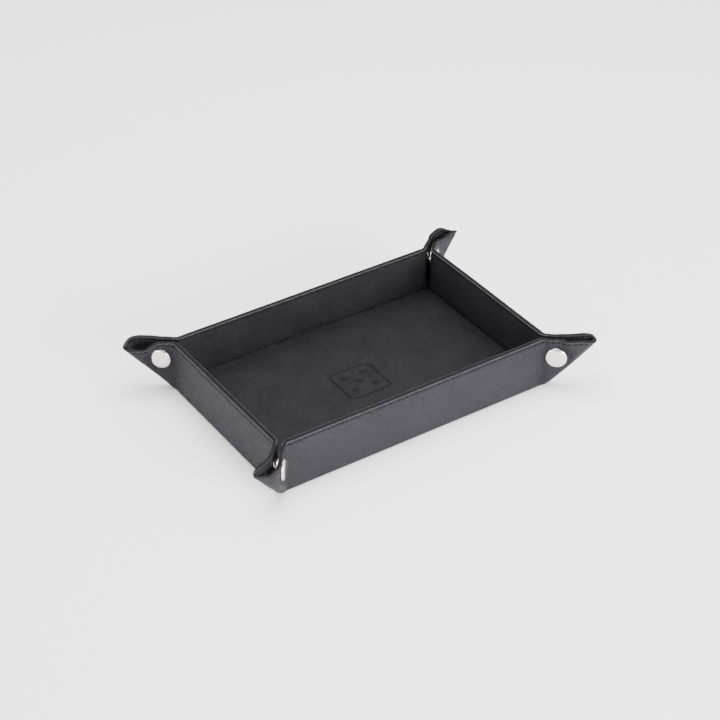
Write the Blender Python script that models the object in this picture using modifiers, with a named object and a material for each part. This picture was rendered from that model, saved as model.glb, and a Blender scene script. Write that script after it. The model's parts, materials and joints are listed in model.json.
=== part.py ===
"""Snap-up leather dice tray, modelled at rest with its four corners snapped.

The tray is one flat laminate: an outer leather and a lining sewn together over five stiff
boards, one in the base and one in each wall. Each corner square is pinched outwards into an
ear of two flaps, and a press snap holds the ear. Undone, everything folds out flat.

Frame: +Z up, X along the long walls, origin on the table under the middle of the base.
Every panel is built in a hinge frame of its own: X along the hinge, Y from the hinge to the
rim, Z out of the tray. The hinge lines lie in the mid-plane of the laminate, so that the
panels come level with each other when the tray is laid flat.
"""

from math import asin, cos, pi, radians, sin, sqrt

import bmesh
import bpy
from mathutils import Euler, Vector

MM = 0.001

# Overall sizes
TRAY_LENGTH = 215 * MM  # outside the side walls, along X
TRAY_WIDTH = 140 * MM  # outside the front and back walls, along Y
TRAY_HEIGHT = 38.5 * MM  # table to rim

# Layers of the laminate
OUTER_LEATHER = 1.2 * MM
LINING = 1.0 * MM
BOARD = 0.8 * MM
GAP = 0.3 * MM  # between any two pieces that touch
SEAM_MARGIN = 4.5 * MM  # border where the leathers are sewn together, outside the board

# Ears
EAR_OPENING = 3.6 * MM  # between the two flaps' linings, where the snap parts sit
EAR_CORNER_RADIUS = 15 * MM  # rounding of the sheet's four corners
EAR_FOLD_MARGIN = 2.5 * MM  # half of the sheet's width that bends round the ear's lower fold
REST_EAR_TURN = radians(45)  # from the plane of a wall to its flaps

# Press snaps
SNAP_FROM_FOLD = 10.5 * MM  # from the flap's fold line to the snap's centre
SNAP_BELOW_RIM = 13.0 * MM
CAP_RADIUS = 7.5 * MM
CAP_HEIGHT = 1.6 * MM
SHANK_RADIUS = 1.2 * MM
SOCKET_RADIUS = 6.2 * MM
SOCKET_FLOOR = 0.7 * MM
STUD_RADIUS = 5.2 * MM
STUD_FLANGE = 0.6 * MM
KNOB_RADIUS = 2.3 * MM
KNOB_PLAY = 0.1 * MM  # left between the knob's end and the socket's floor
POST_RADIUS = 4.6 * MM
POST_HEIGHT = 0.8 * MM

# Facets
ARC_SEGMENTS = 8
TURNED_STEPS = 24
FOLD_SIDES = 16

# Worked out from the sizes above
PANEL = OUTER_LEATHER + GAP + BOARD + GAP + LINING
FLAP = OUTER_LEATHER + GAP + LINING
FOLD_CLEARANCE = PANEL / 2 + GAP  # from a base fold line to the panels beside it
FLAP_CLEARANCE = FLAP / 2 + GAP  # from an ear fold line to the panels beside it
FOLD_X = TRAY_LENGTH / 2 - PANEL / 2  # the side walls' fold lines
FOLD_Y = TRAY_WIDTH / 2 - PANEL / 2  # the front and back walls' fold lines
RIM = TRAY_HEIGHT - PANEL / 2  # from a wall's fold line to its rim
EAR_OFFSET = (EAR_OPENING + FLAP) / sqrt(2)  # along a wall, from the corner to its ear fold line
SNAP_Y = RIM - SNAP_BELOW_RIM
SOCKET_HEIGHT = EAR_OPENING - STUD_FLANGE - 3 * GAP
KNOB_HEIGHT = SOCKET_HEIGHT - SOCKET_FLOOR - KNOB_PLAY
SHANK_HOLE = SHANK_RADIUS + GAP

# Each wall's turn from the front one, and the neighbours at its two ends, -X end first
WALLS = {
    "front": (0, ("left", "right")),
    "right": (90, ("front", "back")),
    "back": (180, ("right", "left")),
    "left": (270, ("back", "front")),
}
CAP_WALL = {"front_left": "front", "front_right": "front", "back_left": "left", "back_right": "right"}


def hex_colour(text):
    """A linear RGBA colour from an sRGB hex one."""
    channels = [int(text[i : i + 2], 16) / 255 for i in (1, 3, 5)]
    linear = [c / 12.92 if c <= 0.04045 else ((c + 0.055) / 1.055) ** 2.4 for c in channels]
    return (*linear, 1)


def new_material(name, colour, roughness, metallic=0.0):
    made = bpy.data.materials.new(name)
    made.use_nodes = True
    shader = made.node_tree.nodes["Principled BSDF"]
    shader.inputs["Base Color"].default_value = hex_colour(colour)
    shader.inputs["Roughness"].default_value = roughness
    shader.inputs["Metallic"].default_value = metallic
    made.diffuse_color = hex_colour(colour)
    return made


def clear_scene():
    for found in list(bpy.data.objects):
        bpy.data.objects.remove(found, do_unlink=True)


def new_collection(name):
    made = bpy.data.collections.new(name)
    bpy.context.scene.collection.children.link(made)
    return made


def place(made, parent, location, material=None):
    """Link an object under its parent frame, with its material."""
    TRAY.objects.link(made)
    made.parent = parent
    made.location = location
    if material:
        made.data.materials.append(material)
    return made


def frame(name, parent, location, rotation):
    made = place(bpy.data.objects.new(name, None), parent, location)
    made.rotation_euler = rotation
    made.empty_display_size = 10 * MM
    return made


def mesh_object(name, bm):
    mesh = bpy.data.meshes.new(name)
    bm.to_mesh(mesh)
    bm.free()
    return bpy.data.objects.new(name, mesh)


def slab_bmesh(size):
    bm = bmesh.new()
    bmesh.ops.create_cube(bm, size=1)
    bmesh.ops.scale(bm, vec=size, verts=bm.verts)
    return bm


def slab(name, size, parent, location, material):
    return place(mesh_object(name, slab_bmesh(size)), parent, location, material)


def pocketed_slab(name, size, margin, depth, parent, location, material):
    """A slab with a pocket in its -Z face that leaves a border of the given margin."""
    bm = slab_bmesh(size)
    inner = [face for face in bm.faces if face.normal.z < -0.5]
    bmesh.ops.inset_individual(bm, faces=inner, thickness=margin, depth=-depth, use_even_offset=True)
    return place(mesh_object(name, bm), parent, location, material)


def rod(name, radius, length, parent, location, rotation, material):
    """A round strip centred on its location, along its own Z before it is turned."""
    bm = bmesh.new()
    bmesh.ops.create_cone(
        bm, cap_ends=True, segments=FOLD_SIDES, radius1=radius, radius2=radius, depth=length
    )
    made = place(mesh_object(name, bm), parent, location, material)
    made.rotation_euler = rotation
    return made


def outline_plate(name, outlines, thickness, parent, location, material):
    """A flat plate in the parent's XY plane: the first outline, with the others as holes in it."""
    curve = bpy.data.curves.new(name, "CURVE")
    curve.dimensions = "2D"
    curve.fill_mode = "BOTH"
    curve.extrude = thickness / 2
    for points in outlines:
        spline = curve.splines.new("POLY")
        spline.points.add(len(points) - 1)
        for target, (x, y) in zip(spline.points, points):
            target.co = (x, y, 0, 1)
        spline.use_cyclic_u = True
    return place(bpy.data.objects.new(name, curve), parent, location, material)


def turned(name, profile, ring, parent, location, material):
    """A profile of (radius, z) points turned about Z: an open one meets the axis, a ring doesn't."""
    count = len(profile)
    edges = [(i, (i + 1) % count) for i in range(count if ring else count - 1)]
    mesh = bpy.data.meshes.new(name)
    mesh.from_pydata([(radius, 0, z) for radius, z in profile], edges, [])
    made = place(bpy.data.objects.new(name, mesh), parent, location, material)
    screw = made.modifiers.new("turn", "SCREW")
    screw.steps = screw.render_steps = TURNED_STEPS
    screw.use_merge_vertices = True
    screw.merge_threshold = 0.0001
    screw.use_smooth_shade = True
    return made


def panel(prefix, size_x, size_y, centre_y, parent):
    """The outer leather, board and lining of the base or a wall, from outside to inside."""
    outer_depth = PANEL - LINING - GAP  # the outer leather's border fills the board's level
    outer_z = PANEL / 2 - outer_depth / 2
    pocket = (SEAM_MARGIN, outer_depth - OUTER_LEATHER)
    pocketed_slab(
        f"{prefix}_outer", (size_x, size_y, outer_depth), *pocket, parent, (0, centre_y, outer_z), HIDE
    )
    board_inset = 2 * (SEAM_MARGIN + GAP)
    board_z = PANEL / 2 - OUTER_LEATHER - GAP - BOARD / 2
    board_size = (size_x - board_inset, size_y - board_inset, BOARD)
    slab(f"{prefix}_board", board_size, parent, (0, centre_y, board_z), FIBREBOARD)
    lining_z = LINING / 2 - PANEL / 2
    slab(f"{prefix}_lining", (size_x, size_y, LINING), parent, (0, centre_y, lining_z), SUEDE)


def flap_outline(side):
    """The flap's edge, from its fold line along the rim, round the corner and down the diagonal."""
    arc_x = RIM + EAR_OFFSET - EAR_CORNER_RADIUS
    arc_y = RIM - EAR_CORNER_RADIUS
    last = pi / 4 + asin(EAR_FOLD_MARGIN / EAR_CORNER_RADIUS)
    turns = [pi / 2 + (last - pi / 2) * i / ARC_SEGMENTS for i in range(ARC_SEGMENTS + 1)]
    corner = [
        (arc_x + EAR_CORNER_RADIUS * cos(turn), arc_y + EAR_CORNER_RADIUS * sin(turn)) for turn in turns
    ]
    diagonal_x = FOLD_CLEARANCE + EAR_OFFSET - EAR_FOLD_MARGIN * sqrt(2)
    start = [(FLAP_CLEARANCE, FOLD_CLEARANCE), (FLAP_CLEARANCE, RIM)]
    points = start + corner + [(diagonal_x, FOLD_CLEARANCE)]
    return [(side * x, y) for x, y in points]


def circle(centre, radius):
    turns = [2 * pi * i / TURNED_STEPS for i in range(TURNED_STEPS)]
    return [(centre[0] + radius * cos(turn), centre[1] + radius * sin(turn)) for turn in turns]


def flap(prefix, side, parent):
    """An ear's flap on one wall: outer leather and lining, with the snap's hole through both."""
    outlines = [flap_outline(side), circle((side * SNAP_FROM_FOLD, SNAP_Y), SHANK_HOLE)]
    outer_z = FLAP / 2 - OUTER_LEATHER / 2
    lining_z = LINING / 2 - FLAP / 2
    outline_plate(f"{prefix}_outer", outlines, OUTER_LEATHER, parent, (0, 0, outer_z), HIDE)
    outline_plate(f"{prefix}_lining", outlines, LINING, parent, (0, 0, lining_z), SUEDE)


def snap_cap(name, parent, centre):
    """The domed cap outside the flap, with the shank that holds the socket."""
    seat = FLAP / 2 + GAP
    end = -(FLAP / 2 + GAP + SOCKET_FLOOR)
    top = seat + CAP_HEIGHT
    profile = [
        (0, top),
        (0.55 * CAP_RADIUS, top - 0.05 * CAP_HEIGHT),
        (0.80 * CAP_RADIUS, top - 0.20 * CAP_HEIGHT),
        (0.94 * CAP_RADIUS, top - 0.45 * CAP_HEIGHT),
        (CAP_RADIUS, top - 0.75 * CAP_HEIGHT),
        (0.97 * CAP_RADIUS, seat),
        (SHANK_RADIUS, seat),
        (SHANK_RADIUS, end),
        (0, end),
    ]
    turned(name, profile, False, parent, centre, NICKEL)


def snap_socket(name, parent, centre):
    """The ring on the same flap's lining: a floor round the shank, and the hollow the knob enters."""
    top = -(FLAP / 2 + GAP)
    bottom = top - SOCKET_HEIGHT
    hollow = KNOB_RADIUS + GAP
    profile = [
        (SOCKET_RADIUS, top),
        (SOCKET_RADIUS, bottom),
        (hollow, bottom),
        (hollow, top - SOCKET_FLOOR),
        (SHANK_HOLE, top - SOCKET_FLOOR),
        (SHANK_HOLE, top),
    ]
    turned(name, profile, True, parent, centre, NICKEL)


def snap_stud(name, parent, centre):
    """The flange on the other flap's lining, with the hollow knob that clicks into the socket."""
    top = -(FLAP / 2 + GAP)
    face = top - STUD_FLANGE
    end = face - KNOB_HEIGHT
    profile = [
        (STUD_RADIUS, top),
        (STUD_RADIUS, face),
        (KNOB_RADIUS, face),
        (KNOB_RADIUS, end),
        (SHANK_HOLE, end),
        (SHANK_HOLE, top),
    ]
    turned(name, profile, True, parent, centre, NICKEL)


def snap_post(name, parent, centre):
    """The flat head outside the other flap, with the shank that holds the stud."""
    seat = FLAP / 2 + GAP
    end = -(FLAP / 2 + GAP + STUD_FLANGE + KNOB_HEIGHT / 2)
    profile = [
        (0, seat + POST_HEIGHT),
        (0.85 * POST_RADIUS, seat + POST_HEIGHT),
        (POST_RADIUS, seat + POST_HEIGHT / 2),
        (POST_RADIUS, seat),
        (SHANK_RADIUS, seat),
        (SHANK_RADIUS, end),
        (0, end),
    ]
    turned(name, profile, False, parent, centre, NICKEL)


def corner_name(wall, neighbour):
    return f"{wall}_{neighbour}" if wall in ("front", "back") else f"{neighbour}_{wall}"


def ear_half(wall, neighbour, side, wall_hinge, fold_x):
    """One flap of an ear on its own hinge, the folded strip beside it, and its half of the snap."""
    prefix = f"{wall}_wall_{neighbour}"
    strip_length = RIM - FOLD_CLEARANCE
    strip_place = (side * fold_x, FOLD_CLEARANCE + strip_length / 2, 0)
    rod(f"{prefix}_fold", FLAP / 2, strip_length, wall_hinge, strip_place, (pi / 2, 0, 0), HIDE)
    turn = (0, -side * REST_EAR_TURN, 0)
    hinge = frame(f"{prefix}_flap_hinge", wall_hinge, (side * fold_x, 0, 0), turn)
    flap(f"{prefix}_flap", side, hinge)
    corner = corner_name(wall, neighbour)
    centre = (side * SNAP_FROM_FOLD, SNAP_Y, 0)
    if CAP_WALL[corner] == wall:
        snap_cap(f"{corner}_snap_cap", hinge, centre)
        snap_socket(f"{corner}_snap_socket", hinge, centre)
    else:
        snap_stud(f"{corner}_snap_stud", hinge, centre)
        snap_post(f"{corner}_snap_post", hinge, centre)


def wall_group(wall, turn_degrees, neighbours):
    """A wall on its hinge at the base's edge, with the folded strip there and its two flaps."""
    long_wall = wall in ("front", "back")
    half_fold = FOLD_X if long_wall else FOLD_Y
    reach = FOLD_Y if long_wall else FOLD_X
    turn = radians(turn_degrees)
    outwards = Euler((0, 0, turn)).to_matrix() @ Vector((0, -1, 0))
    location = outwards * reach + Vector((0, 0, PANEL / 2))
    hinge = frame(f"{wall}_wall_hinge", None, location, (pi / 2, 0, turn))

    strip_radius = PANEL / 2 - GAP
    strip_length = 2 * (half_fold - strip_radius - GAP)
    rod(f"{wall}_fold", strip_radius, strip_length, None, location, (0, pi / 2, turn), HIDE)

    fold_x = half_fold - EAR_OFFSET
    size_x = 2 * (fold_x - FLAP_CLEARANCE)
    size_y = RIM - FOLD_CLEARANCE
    panel(f"{wall}_wall", size_x, size_y, FOLD_CLEARANCE + size_y / 2, hinge)
    for side, neighbour in zip((-1, 1), neighbours):
        ear_half(wall, neighbour, side, hinge, fold_x)


def base_group():
    """The base, in a frame turned over so that its Z points out of the tray, downwards."""
    underside = frame("base_frame", None, (0, 0, PANEL / 2), (pi, 0, 0))
    size_x = 2 * (FOLD_X - FOLD_CLEARANCE)
    size_y = 2 * (FOLD_Y - FOLD_CLEARANCE)
    panel("base", size_x, size_y, 0, underside)


clear_scene()
TRAY = new_collection("folding_dice_tray")
HIDE = new_material("black_leather", "#4A484C", 0.55)
SUEDE = new_material("black_lining_leather", "#3A393D", 0.6)
FIBREBOARD = new_material("grey_fibreboard", "#8A8378", 0.85)
NICKEL = new_material("polished_nickel", "#D8D4CE", 0.18, metallic=1.0)

base_group()
for wall_name, (wall_turn, wall_neighbours) in WALLS.items():
    wall_group(wall_name, wall_turn, wall_neighbours)
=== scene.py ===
import json
from math import cos, hypot, pi, radians, sin, sqrt, tan

import bmesh
import bpy
from bpy.props import FloatProperty, FloatVectorProperty, PointerProperty
from mathutils import Matrix, Vector, noise


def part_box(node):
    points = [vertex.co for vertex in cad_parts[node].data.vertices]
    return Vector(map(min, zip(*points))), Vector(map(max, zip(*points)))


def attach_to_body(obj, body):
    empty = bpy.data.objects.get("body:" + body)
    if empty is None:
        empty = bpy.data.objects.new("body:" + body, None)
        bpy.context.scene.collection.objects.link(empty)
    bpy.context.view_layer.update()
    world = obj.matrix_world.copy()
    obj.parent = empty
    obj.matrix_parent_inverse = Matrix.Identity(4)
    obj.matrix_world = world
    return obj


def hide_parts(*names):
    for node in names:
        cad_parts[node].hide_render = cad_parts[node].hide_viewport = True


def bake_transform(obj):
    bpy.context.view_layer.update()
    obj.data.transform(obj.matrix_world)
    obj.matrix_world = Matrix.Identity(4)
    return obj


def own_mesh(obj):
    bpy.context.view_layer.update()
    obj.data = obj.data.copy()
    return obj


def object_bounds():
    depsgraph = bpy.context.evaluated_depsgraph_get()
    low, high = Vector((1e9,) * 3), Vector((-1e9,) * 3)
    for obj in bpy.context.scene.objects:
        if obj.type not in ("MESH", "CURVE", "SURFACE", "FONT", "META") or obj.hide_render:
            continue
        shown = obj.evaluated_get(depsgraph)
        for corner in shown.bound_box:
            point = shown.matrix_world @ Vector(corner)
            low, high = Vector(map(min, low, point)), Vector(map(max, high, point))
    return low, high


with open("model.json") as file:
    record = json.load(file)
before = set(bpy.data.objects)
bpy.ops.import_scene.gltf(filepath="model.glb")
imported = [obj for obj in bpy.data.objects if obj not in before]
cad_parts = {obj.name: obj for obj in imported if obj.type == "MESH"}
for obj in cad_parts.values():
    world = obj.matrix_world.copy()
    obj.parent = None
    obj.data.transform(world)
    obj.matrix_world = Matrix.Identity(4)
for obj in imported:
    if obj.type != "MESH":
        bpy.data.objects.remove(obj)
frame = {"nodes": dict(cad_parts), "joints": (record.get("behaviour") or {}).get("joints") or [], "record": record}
CAD_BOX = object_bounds()

bl_info = {
    "name": "Folding Dice Tray",
    "version": (1, 0, 0),
    "blender": (4, 5, 0),
    "location": "View3D > Sidebar > Dice Tray",
    "description": "Leather over a folding dice tray's panels, ears and press snaps",
    "category": "Object",
}

MM = 0.001
UP = Vector((0, 0, 1))
JOINTS = {joint["name"]: joint for joint in frame["joints"]}

# The laminate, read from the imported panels
GAP = 0.3 * MM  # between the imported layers, where the glue is
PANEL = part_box("base_lining")[1].z  # the whole laminate
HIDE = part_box("base_board")[0].z - GAP  # outer leather
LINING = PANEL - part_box("base_lining")[0].z
HIDE_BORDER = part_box("base_outer")[1].z  # outer leather where it fills the board's level
FOLD_HEIGHT = JOINTS["front_wall_fold"]["pos_m"][2]
FOLD_X = JOINTS["right_wall_fold"]["pos_m"][0]
FOLD_Y = JOINTS["back_wall_fold"]["pos_m"][1]
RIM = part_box("front_wall_outer")[1].z - FOLD_HEIGHT  # fold line to rim
EAR_OFFSET = FOLD_X - JOINTS["front_wall_right_flap_turn"]["pos_m"][0]
EAR_HALF_GAP = EAR_OFFSET / sqrt(2)  # from a leaf's middle layer to the middle of its ear
LEAF = HIDE + GAP + LINING  # an ear leaf's laminate

# Bends and borders
FLANGE = 5 * MM  # how far a wall's leather runs under or over the base
CREASE_BEFORE = 5 * MM  # an ear crease strip, on the wall's side of its fold line
CREASE_AFTER = 4 * MM  # and on the leaf's side
EAR_BEND = 4.5 * MM  # radius of the bend from a wall into its ear
CORNER_RADIUS = 15 * MM  # of the sheet's four corners
RIM_ROUND = 0.5 * MM
SNAP_SEAT = 0.02 * MM  # a snap part's clearance from its leather
SNAP_FLAT = 7 * MM  # a leaf lies flat this far round its snap, and swells over as much again

# Seams
SEAM_INSET = 1.9 * MM  # rim to stitch line
SEAM_DEPTH = 0.45 * MM
SEAM_WIDTH = 1.0 * MM  # to each side of the stitch line
LOWER_SEAM = 4.2 * MM  # fold line to the lining's lower stitch line
THREAD_RISE = 0.42 * MM  # a stitch's middle over the bottom of its valley
THREAD_DIP = 0.6 * MM  # and how far its ends go down into the needle holes

# The die face stamped in the floor
MOTIF_DEPTH = 0.8 * MM
MOTIF_HALF = 16 * MM
MOTIF_CORNER = 5 * MM
MOTIF_LINE = 1.0 * MM
PIP_RADIUS = 2.2 * MM
PIP_PLACES = ((0, 0), (8, 8), (-8, 8), (8, -8), (-8, -8))

# Faces of an ear leaf's fan
LEAF_COLUMNS = 46
LEAF_ROWS = 40

# Ears, in millimetres. Past its snap, each tip leans sideways, draws in toward the tray and drops.
# Each leaf's rim is its own way open over the snap (throat) and at the tip (mouth), and rolls over.
EARS = {
    "front_left": {"lean": 9.4, "draw": 11.0, "drop": 5.0, "start": 16.5, "power": 1.35},
    "front_right": {"lean": 10.3, "draw": 1.4, "drop": 0.2, "start": 6.0, "power": 1.25},
    "back_left": {"lean": 6.2, "draw": 2.2, "drop": -1.6, "start": 6.5, "power": 1.25},
    "back_right": {"lean": 12.6, "draw": 5.0, "drop": -3.0, "start": 6.0, "power": 1.55},
}
LEAF_RIMS = {
    "front_wall_left": {"throat": 3.1, "mouth": 4.2, "roll": 5.0},
    "left_wall_front": {"throat": 2.2, "mouth": 3.0, "roll": 0.4},
    "front_wall_right": {"throat": 2.9, "mouth": 6.1, "roll": 0.7},
    "right_wall_front": {"throat": 2.9, "mouth": 2.8, "roll": 0.4},
    "left_wall_back": {"throat": 4.3, "mouth": 9.4, "roll": 3.5},
    "back_wall_left": {"throat": 2.2, "mouth": 3.6, "roll": 0.3},
    "back_wall_right": {"throat": 2.4, "mouth": 4.4, "roll": -0.9},
    "right_wall_back": {"throat": 2.8, "mouth": 4.2, "roll": 2.0},
}
NEIGHBOURS = {
    "front": ("left", "right"),
    "right": ("front", "back"),
    "back": ("right", "left"),
    "left": ("back", "front"),
}
FINISHES = {"outer": "hide_pebbled_leather", "lining": "lining_pebbled_leather"}


def hex_colour(text):
    """A linear RGBA colour from an sRGB hex one."""
    channels = [int(text[i : i + 2], 16) / 255 for i in (1, 3, 5)]
    linear = [c / 12.92 if c <= 0.04045 else ((c + 0.055) / 1.055) ** 2.4 for c in channels]
    return (*linear, 1)


def colour_setting(name, description, text):
    colour = {"subtype": "COLOR", "size": 4, "min": 0, "max": 1, "default": hex_colour(text)}
    return FloatVectorProperty(name=name, description=description, **colour)


def length_setting(name, description, default):
    length = {"unit": "LENGTH", "min": 0, "precision": 5, "default": default}
    return FloatProperty(name=name, description=description, **length)


class LeatherSettings(bpy.types.PropertyGroup):
    hide: colour_setting("Hide", "Outer leather's colour", "#25232a")
    lining: colour_setting("Lining", "Inner leather's colour", "#17161a")
    # Paler tone for random wear, and on the rims also a painted highlight
    worn_and_rim_highlight: colour_setting("Worn", "Where handling has rubbed the leather", "#514d58")
    edge_paint: colour_setting("Edge paint", "Painted cut edges", "#0c0b0c")
    thread: colour_setting("Thread", "Waxed sewing thread", "#0a0a0b")
    grain: length_setting("Grain", "Width of a pebble of the grain", 1.25 * MM)
    pitch: length_setting("Stitch pitch", "From one stitch to the next", 3.6 * MM)
    stitch: length_setting("Stitch", "Length of the thread that shows", 3.0 * MM)
    thread_width: length_setting("Thread width", "Width of a stitch", 1.15 * MM)


class HardwareSettings(bpy.types.PropertyGroup):
    nickel: colour_setting("Nickel", "Plated snaps", "#d6d1cb")
    board: colour_setting("Board", "Stiffening fibreboard", "#6b6052")


class StudioSettings(bpy.types.PropertyGroup):
    floor: colour_setting("Floor", "Table top", "#f4f4f4")
    azimuth: FloatProperty(name="Azimuth", description="Camera's turn round the tray", default=-33.69)
    elevation: FloatProperty(name="Elevation", description="Camera's height in degrees", default=35.43)
    distance: length_setting("Distance", "Camera to the point it looks at", 1.336)
    lens: FloatProperty(name="Lens", description="Focal length in millimetres", default=96.1)


class DiceTraySettings(bpy.types.PropertyGroup):
    leather: PointerProperty(type=LeatherSettings)
    hardware: PointerProperty(type=HardwareSettings)
    studio: PointerProperty(type=StudioSettings)


# --- materials


def add_node(tree, kind, sockets=(), **settings):
    """Adds a node with its settings, and fills each socket with a value or a link."""
    made = tree.nodes.new(kind)
    for name, value in settings.items():
        setattr(made, name, value)
    for socket, value in dict(sockets).items():
        if isinstance(value, bpy.types.NodeSocket):
            tree.links.new(value, made.inputs[socket])
        else:
            made.inputs[socket].default_value = value
    return made


def new_material(name, sockets):
    """A material with one Principled shader: its node tree, the shader and the place on the object."""
    made = bpy.data.materials.new(name)
    made.use_nodes = True
    tree = made.node_tree
    shader = tree.nodes["Principled BSDF"]
    for socket, value in sockets.items():
        shader.inputs[socket].default_value = value
    return tree, shader, add_node(tree, "ShaderNodeTexCoord").outputs["Object"]


def mottle(tree, place, scale, detail=2.0, roughness=0.5):
    """A noise value, scale in lumps to the metre."""
    sockets = {"Vector": place, "Scale": scale, "Detail": detail, "Roughness": roughness}
    return add_node(tree, "ShaderNodeTexNoise", sockets).outputs[0]


def ranged(tree, value, low, high, **settings):
    """A value from 0 to 1, mapped to run from low to high."""
    sockets = {"Value": value, "To Min": low, "To Max": high}
    return add_node(tree, "ShaderNodeMapRange", sockets, **settings).outputs[0]


def combined(tree, operation, *values):
    """The result of a math node on these values."""
    return add_node(tree, "ShaderNodeMath", dict(enumerate(values)), operation=operation).outputs[0]


def blended(tree, share, first, second):
    """A colour between two."""
    sockets = {0: share, 6: tuple(first), 7: tuple(second)}
    return add_node(tree, "ShaderNodeMix", sockets, data_type="RGBA").outputs[2]


def emboss(tree, shader, height, strength, distance):
    """Links a height to the shader as bump."""
    sockets = {"Height": height, "Strength": strength, "Distance": distance}
    bump = add_node(tree, "ShaderNodeBump", sockets)
    tree.links.new(bump.outputs[0], shader.inputs["Normal"])


def pebbled_leather(name, colour, worn_and_rim_highlight, grain, roughness, shine):
    """Chrome-tanned leather, printed with a fine pebble grain and left satin. The pebbles' tops are painted
    lighter and the creases between them darker, as painted highlight and shade;
    rims are paler and smoother from wear and a painted highlight, and seam valleys and stamped lines are darkened
    as painted shade."""
    tree, shader, place = new_material(name, {"Specular IOR Level": shine})
    drift = add_node(tree, "ShaderNodeTexNoise", {"Vector": place, "Scale": 0.4 / grain, "Detail": 2.0})
    sockets = {0: drift.outputs["Color"], 1: (0.5, 0.5, 0.5)}
    centred = add_node(tree, "ShaderNodeVectorMath", sockets, operation="SUBTRACT").outputs[0]
    sockets = {0: centred, 1: (grain, grain, grain), 2: place}
    warped = add_node(tree, "ShaderNodeVectorMath", sockets, operation="MULTIPLY_ADD").outputs[0]
    sockets = {"Vector": warped, "Scale": 1 / grain}
    cells = add_node(tree, "ShaderNodeTexVoronoi", sockets, feature="DISTANCE_TO_EDGE")
    sockets = {"Value": cells.outputs["Distance"], "From Max": 0.22}
    pebble = add_node(tree, "ShaderNodeMapRange", sockets, interpolation_type="SMOOTHSTEP").outputs[0]
    handled = mottle(tree, place, 45.0, 3.0)
    wrinkles = mottle(tree, place, 420.0, 4.0, 0.6)
    # Above 0 on rims, where wear and a painted highlight make the leather paler; below 0 in seam valleys and
    # stamped lines, where painted shade darkens it
    rim = add_node(tree, "ShaderNodeAttribute", attribute_name="rubbed").outputs["Fac"]
    sockets = {"Value": handled, "From Min": 0.4, "From Max": 0.8, "To Max": 0.07}
    patchy = add_node(tree, "ShaderNodeMapRange", sockets).outputs[0]
    tint = blended(tree, combined(tree, "MAXIMUM", patchy, rim), colour, worn_and_rim_highlight)
    # Painted shade: seam valleys and stamped lines darken the colour, down to a quarter
    sockets = {"Value": rim, "From Min": -1.0, "From Max": 0.0, "To Min": 0.25}
    sunk_and_shaded = add_node(tree, "ShaderNodeMapRange", sockets).outputs[0]
    # Painted shade and highlight: the creases between pebbles darken the colour, and their tops lighten it
    shade = combined(tree, "MULTIPLY", ranged(tree, pebble, 0.55, 1.1), sunk_and_shaded)
    base = add_node(tree, "ShaderNodeVectorMath", {0: tint, "Scale": shade}, operation="SCALE").outputs[0]
    tree.links.new(base, shader.inputs["Base Color"])
    creased = ranged(tree, pebble, roughness + 0.18, roughness)
    uneven = combined(tree, "MULTIPLY_ADD", handled, 0.1, creased)
    gloss = combined(tree, "MULTIPLY_ADD", rim, -0.1, uneven)
    height = combined(tree, "MULTIPLY_ADD", wrinkles, 0.55, pebble)
    tree.links.new(gloss, shader.inputs["Roughness"])
    emboss(tree, shader, height, 1.0, 0.36 * grain)


def edge_paint(name, colour):
    """Acrylic edge paint, brushed on in coats: a smooth, slightly lumpy black line between the leathers."""
    tree, shader, place = new_material(name, {"Base Color": tuple(colour), "Specular IOR Level": 0.12})
    lumps = mottle(tree, place, 900.0, 3.0)
    tree.links.new(ranged(tree, lumps, 0.4, 0.62), shader.inputs["Roughness"])
    emboss(tree, shader, lumps, 0.5, 0.06 * MM)


def waxed_thread(name, colour, width):
    """Waxed polyester thread, three-ply twist: a low sheen broken by the plies."""
    tree, shader, place = new_material(name, {"Base Color": tuple(colour), "Specular IOR Level": 0.12})
    sockets = {"Vector": place, "Scale": 0.35 / width, "Distortion": 1.5, "Detail": 1.0}
    twist = {"wave_type": "BANDS", "bands_direction": "DIAGONAL"}
    plies = add_node(tree, "ShaderNodeTexWave", sockets, **twist).outputs["Fac"]
    tree.links.new(ranged(tree, plies, 0.4, 0.65), shader.inputs["Roughness"])
    emboss(tree, shader, plies, 0.6, 0.08 * MM)


def polished_nickel(name, colour):
    """Nickel plate on stamped brass, tumbled bright: mirror reflections with the faint haze of handling."""
    tree, shader, place = new_material(name, {"Base Color": tuple(colour), "Metallic": 1.0})
    haze = mottle(tree, place, 260.0, 5.0, 0.65)
    tree.links.new(ranged(tree, haze, 0.08, 0.24), shader.inputs["Roughness"])
    emboss(tree, shader, haze, 0.12, 0.03 * MM)


def fibreboard(name, colour):
    """Pressed leather fibreboard: matt, flecked with paler fibres."""
    tree, shader, place = new_material(name, {"Roughness": 0.85})
    flecks = mottle(tree, place, 1400.0, 6.0, 0.7)
    pale = [min(1.0, 1.5 * channel) for channel in colour]
    tree.links.new(blended(tree, flecks, colour, pale), shader.inputs["Base Color"])
    emboss(tree, shader, flecks, 0.5, 0.1 * MM)


def matt_laminate(colour):
    """The table: a matt white laminate, with no pattern to take the eye."""
    tree, shader, place = new_material("table_matt_laminate", {"Base Color": tuple(colour)})
    tree.links.new(ranged(tree, mottle(tree, place, 3.0), 0.7, 0.8), shader.inputs["Roughness"])


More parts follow.
